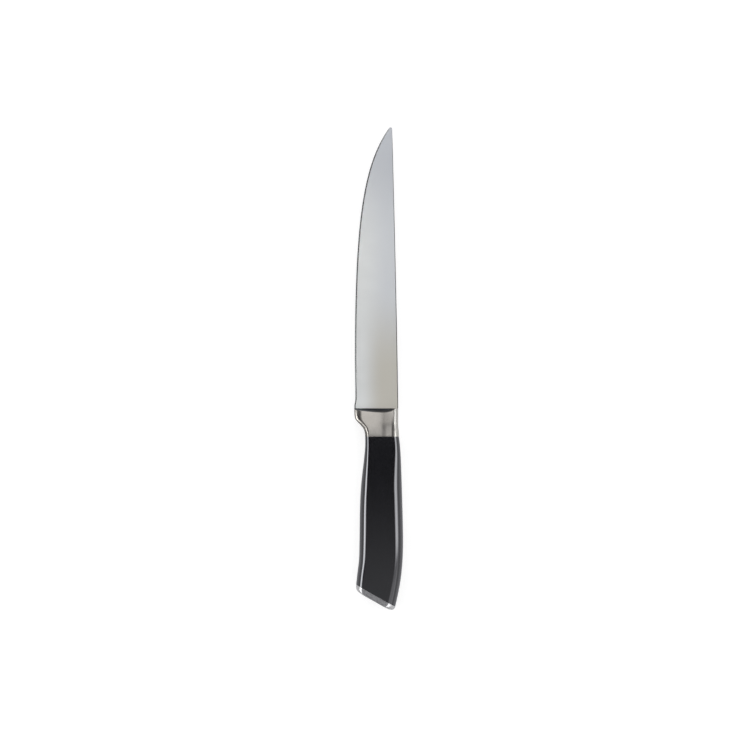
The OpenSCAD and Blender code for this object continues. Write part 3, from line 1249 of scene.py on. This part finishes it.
@dataclass(frozen=True)
class Handle:
    """Black moulded handle in two halves that meet on the blade's middle plane."""

    grip: Grip
    stations: int = 60
    turn_from: float = 0.45
    edge_w: float = 0.12

    def body(self, material: bpy.types.Material) -> bpy.types.Object:
        """Whole handle, with stations that turn from square to the cap's slant.

        Args:
            material: Finish of the handle.

        Returns:
            The whole handle.
        """
        loft = Loft("handle_body", self.grip.layout, segments=10)
        for share in steps(0.0, 1.0, self.stations):
            turn = self.grip.slant * smooth((share - self.turn_from) / (1.0 - self.turn_from))
            loft.ring(self.grip.corners(share * self.grip.seam_y, turn))
        return loft.close(material)

    def shell(self, body: bpy.types.Object, half: Half) -> None:
        """Cut one half out of the whole handle, ease its parting line and make its joints.

        Args:
            body: The whole handle, which stays.
            half: The half to make.
        """
        node, name, side = half.value
        piece = copy_of(body, name)
        bpy.ops.object.mode_set(mode="EDIT")
        middle, outward = self.grip.layout.origin, Vector((0, 0, -side))
        cut_off(middle, outward)
        select_edges(lambda e: on_plane(e, middle, outward))
        ease_edges(self.edge_w, segments=2)
        bpy.ops.object.mode_set(mode="OBJECT")
        joints = Joinery(self.grip.layout)
        carve(piece, joints.tang_pocket(), joints.spigot_block(joints.gap),
              joints.lug_pocket(self.grip.seam_y), *joints.pin_bores())
        if half is Half.UPPER:
            weld(piece, *joints.peg_rods(self.grip))
        else:
            carve(piece, *joints.peg_rods(self.grip, joints.gap))
        hand_over(piece, node, crease=35.0)

    def build(self, material: bpy.types.Material) -> None:
        """Model both halves.

        Args:
            material: Finish of the handle.
        """
        body = self.body(material)
        for half in Half:
            self.shell(body, half)
        bpy.data.objects.remove(body)


@dataclass(frozen=True)
class EndCap:
    """Slanted steel cap that carries on the handle's last section, with its corners rounded off.

    Sizes are in the knife's own millimetres. The corners at the belly and the back have their own
    radii, and the rim all round the butt has a small one.
    """

    grip: Grip
    edge_r: float = 5.0
    spine_r: float = 2.8
    rim_r: float = 0.8
    stations: int = 19
    corner_w: float = 8.5
    flank_in: float = 0.04
    lean_share: float = 0.04

    def lean(self, line: Callable[[float], float], side: int) -> float:
        """How far an outline moves along the seam for each step square to it.

        Args:
            line: The outline.
            side: 1 for the back, -1 for the belly.

        Returns:
            The move for a step of one.
        """
        slant = math.radians(self.grip.slant)
        run = self.lean_share * self.grip.length
        y = self.grip.seam_y - side * self.grip.front_x * math.tan(slant)
        dx = line(y - run) - line(y)
        aside = dx * math.cos(slant) + run * math.sin(slant)
        return aside / (run * math.cos(slant) - dx * math.sin(slant))

    def corner_in(self, depth: float, radius: float, lean: float) -> float:
        """How far a rounded corner lies inside its straight side.

        Args:
            depth: Depth below the seam.
            radius: Radius of the corner.
            lean: How far the straight side moves for each step of depth.

        Returns:
            The distance, or nothing above the corner.
        """
        q, h = depth - self.grip.cap_t + radius, math.hypot(1.0, lean)
        if q <= radius * lean / h:
            return 0.0
        return radius * h - lean * q - math.sqrt(max(0.0, radius ** 2 - q ** 2))

    def station(self, depth: float) -> list[Corner]:
        """Section of the cap.

        Args:
            depth: Depth below the seam.

        Returns:
            Corners of the section's upper half.
        """
        grip = self.grip
        slant = math.radians(grip.slant)
        over = max(0.0, depth - grip.cap_t + self.rim_r)
        rim = self.rim_r - math.sqrt(max(0.0, self.rim_r ** 2 - over ** 2))
        belly, back = grip.corners(grip.seam_y - depth / math.cos(slant), grip.slant)
        moves = (
            (belly, self.corner_in(depth, self.edge_r, self.lean(grip.belly_x, -1)) + rim),
            (back, -self.corner_in(depth, self.spine_r, -self.lean(grip.back_x, 1)) - rim),
        )
        shrink = 1.0 - rim / grip.layout.half_t
        return [
            Corner(
                c.x + move * math.cos(slant), c.y - move * math.sin(slant),
                c.z * shrink, c.fillet * shrink)
            for c, move in moves
        ]

    def on_corner(self, face: Sequence[Vector]) -> bool:
        """Tell whether a face belongs to the rounded side at the belly or at the back.

        Args:
            face: Corners of the face.

        Returns:
            True if all corners lie there.
        """
        grip = self.grip
        return all(
            abs(p.z) < grip.layout.half_t - self.flank_in
            and (p.x < grip.belly_x(p.y) + self.corner_w or p.x > grip.back_x(p.y) - self.corner_w)
            for p in map(grip.layout.own, face))

    def build(self, material: bpy.types.Material, satin_and_highlight: bpy.types.Material) -> None:
        """Model the cap.

        Args:
            material: Finish of the flanks and the butt.
            satin_and_highlight: Finish of the rounded corners, a rough steel with a paler colour as a
                painted highlight.
        """
        loft = Loft("butt_cap", self.grip.layout, segments=10)
        for turn in steps(0.0, math.pi / 2, self.stations):
            loft.ring(self.station(self.grip.cap_t * math.sin(turn)))
        piece = loft.close(material)
        joints = Joinery(self.grip.layout)
        weld(piece, joints.lug_block(self.grip.seam_y, self.grip.slant))
        carve(piece, joints.tail_slot(), joints.cap_bore())
        hand_over(piece, "end_cap", crease=30.0)
        # The rounded corners take the paler steel, a painted highlight.
        paint_faces(piece, satin_and_highlight, self.on_corner)


@dataclass(frozen=True)
class Card:
    """Soft-edged card of the surroundings, by the X and Y parts of the direction to it."""

    across: Pair
    along: Pair
    soft: Pair
    level: float

    def add(self, tree: bpy.types.NodeTree, x: bpy.types.NodeSocket,
            y: bpy.types.NodeSocket) -> bpy.types.NodeSocket:
        """Add the card's light.

        Args:
            tree: Tree of the surroundings.
            x: Socket of the direction's X part.
            y: Socket of the direction's Y part.

        Returns:
            Socket of the light that comes from the card in that direction.
        """
        level: Any = self.level
        for socket, reach, soft in zip((x, y), (self.across, self.along), self.soft):
            for edge, half in zip(reach, (soft, -soft)):
                side = add_node(tree, "ShaderNodeMapRange", {
                    "Value": socket, "From Min": edge - half, "From Max": edge + half},
                    interpolation_type="SMOOTHSTEP")
                level = add_node(tree, "ShaderNodeMath", {
                    0: level, 1: side.outputs["Result"]}, operation="MULTIPLY").outputs[0]
        return level


# What the steel and the handle mirror: bright cards on both sides of the knife, weaker ones
# towards its tip and butt, and dark gaps between them for the dark bands of the photograph.
CARDS = (
    Card(across=(-0.76, -0.48), along=(-0.14, 0.22), soft=(0.04, 0.05), level=3.9),
    Card(across=(-0.46, -0.33), along=(-0.16, -0.045), soft=(0.07, 0.02), level=2.2),
    Card(across=(0.40, 0.80), along=(-0.10, 0.22), soft=(0.10, 0.04), level=2.5),
    Card(across=(0.27, 0.42), along=(-0.08, -0.04), soft=(0.08, 0.015), level=0.9),
    Card(across=(0.17, 0.85), along=(-0.50, -0.12), soft=(0.08, 0.06), level=0.6),
    Card(across=(-0.17, 0.11), along=(0.01, 0.40), soft=(0.09, 0.03), level=1.28),
    Card(across=(-0.52, 0.46), along=(0.32, 0.90), soft=(0.14, 0.09), level=1.0),
    Card(across=(-0.90, 0.90), along=(0.45, 0.95), soft=(0.10, 0.06), level=0.6),
    Card(across=(-0.90, 0.90), along=(-0.95, -0.55), soft=(0.10, 0.08), level=0.35),
    Card(across=(-0.15, 0.15), along=(-0.42, -0.07), soft=(0.10, 0.035), level=0.20),
    Card(across=(0.24, 0.56), along=(-0.56, -0.26), soft=(0.08, 0.05), level=2.2),
    Card(across=(-0.80, -0.42), along=(-0.34, -0.12), soft=(0.06, 0.04), level=2.0),
    Card(across=(0.78, 1.20), along=(-1.2, 1.2), soft=(0.05, 0.05), level=0.36),
    Card(across=(-1.20, -0.78), along=(-1.2, 1.2), soft=(0.05, 0.05), level=0.36),
)


@dataclass(frozen=True)
class Studio:
    """White table, soft light and the camera of the photograph.

    Lengths are in metres, and the camera's lens and sensor in millimetres. The table's white is
    mostly its own glow, so that the knife's shadow stays faint. Mirror rays see a weaker glow, so
    that the low sides of the steel stay as dark as in the photograph.
    """

    table_w: float = 6.0
    table_z: float = -0.0001
    glow: float = 0.78
    mirrored_glow: float = 0.20
    matt: float = 0.35
    eye: Triple = (-0.00192, -0.00531, 1.608)
    lens: float = 107.6
    sensor_w: float = 36.0
    near: float = 0.01
    gap_level: float = 0.02

    def table(self) -> None:
        """White table that keeps the knife's faint shadow."""
        bpy.ops.object.select_all(action="DESELECT")
        bpy.ops.mesh.primitive_plane_add(size=self.table_w, location=(0, 0, self.table_z))
        floor = bpy.context.object
        floor.name = "table"
        material = bpy.data.materials.new("white_table")
        material.use_nodes = True
        tree = material.node_tree
        tree.nodes.clear()
        ray = add_node(tree, "ShaderNodeLightPath")
        glossy = add_node(tree, "ShaderNodeMath", {
            0: ray.outputs["Is Glossy Ray"], 1: ray.outputs["Is Transmission Ray"]},
            operation="MAXIMUM")
        mirrored = add_node(tree, "ShaderNodeMath", {
            0: glossy.outputs[0], 1: self.mirrored_glow}, operation="MULTIPLY")
        strength = add_node(tree, "ShaderNodeMath", {
            0: ray.outputs["Is Camera Ray"], 1: self.glow, 2: mirrored.outputs[0]},
            operation="MULTIPLY_ADD")
        glow = add_node(tree, "ShaderNodeEmission", {
            "Color": (1, 1, 1, 1), "Strength": strength.outputs[0]})
        matt = add_node(tree, "ShaderNodeBsdfDiffuse", {"Color": (self.matt,) * 3 + (1,)})
        both = add_node(tree, "ShaderNodeAddShader", {0: glow.outputs[0], 1: matt.outputs[0]})
        add_node(tree, "ShaderNodeOutputMaterial", {"Surface": both.outputs[0]})
        floor.data.materials.append(material)

    def camera(self) -> None:
        """Camera straight above, at the photograph's scale."""
        bpy.ops.object.camera_add(location=self.eye, rotation=(0, 0, 0))
        camera = bpy.context.object
        camera.data.lens = self.lens
        camera.data.sensor_width = self.sensor_w
        camera.data.clip_start = self.near
        bpy.context.scene.camera = camera

    def surroundings(self) -> None:
        """Soft cards with hardly any light between them. The camera itself sees plain white."""
        world = bpy.data.worlds.new("studio")
        bpy.context.scene.world = world
        world.use_nodes = True
        tree = world.node_tree
        tree.nodes.clear()
        place = add_node(tree, "ShaderNodeTexCoord")
        split = add_node(tree, "ShaderNodeSeparateXYZ", {"Vector": place.outputs["Generated"]})
        total = add_node(tree, "ShaderNodeValue").outputs[0]
        total.default_value = self.gap_level
        for card in CARDS:
            level = card.add(tree, split.outputs["X"], split.outputs["Y"])
            both = add_node(tree, "ShaderNodeMath", {0: total, 1: level}, operation="ADD")
            total = both.outputs[0]
        ray = add_node(tree, "ShaderNodeLightPath")
        shown = add_node(tree, "ShaderNodeMix", {
            0: ray.outputs["Is Camera Ray"], 2: total, 3: 1.0}, data_type="FLOAT")
        back = add_node(tree, "ShaderNodeBackground", {
            "Color": (1, 1, 1, 1), "Strength": shown.outputs[0]})
        add_node(tree, "ShaderNodeOutputWorld", {"Surface": back.outputs[0]})

    def build(self) -> None:
        """Make the whole studio."""
        bpy.context.scene.view_settings.view_transform = "Standard"
        self.table()
        self.camera()
        self.surroundings()


def main() -> None:
    """Build the knife and its studio."""
    logging.basicConfig(level=logging.INFO, format="%(name)s %(message)s")
    layout = Layout.from_frame()
    grip = Grip(layout)
    black, polished = MOULDED_ACETAL.build(), POLISHED_STEEL.build()
    satin_and_highlight, painted_dark = SATIN_HIGHLIGHT_STEEL.build(), PAINTED_SHADE_STEEL.build()
    Blade(layout).build(GROUND_STEEL.build(), HONED_STEEL.build(), painted_dark)
    Bolster(layout).build(polished, satin_and_highlight, painted_dark)
    Handle(grip).build(black)
    EndCap(grip).build(BUFFED_STEEL.build(), satin_and_highlight)
    mill = MILL_STEEL.build()
    for name in INNER_NODES:
        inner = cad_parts[name]
        inner.data.materials.clear()
        inner.data.materials.append(mill)
    Studio().build()


if __name__ == "__main__":
    main()
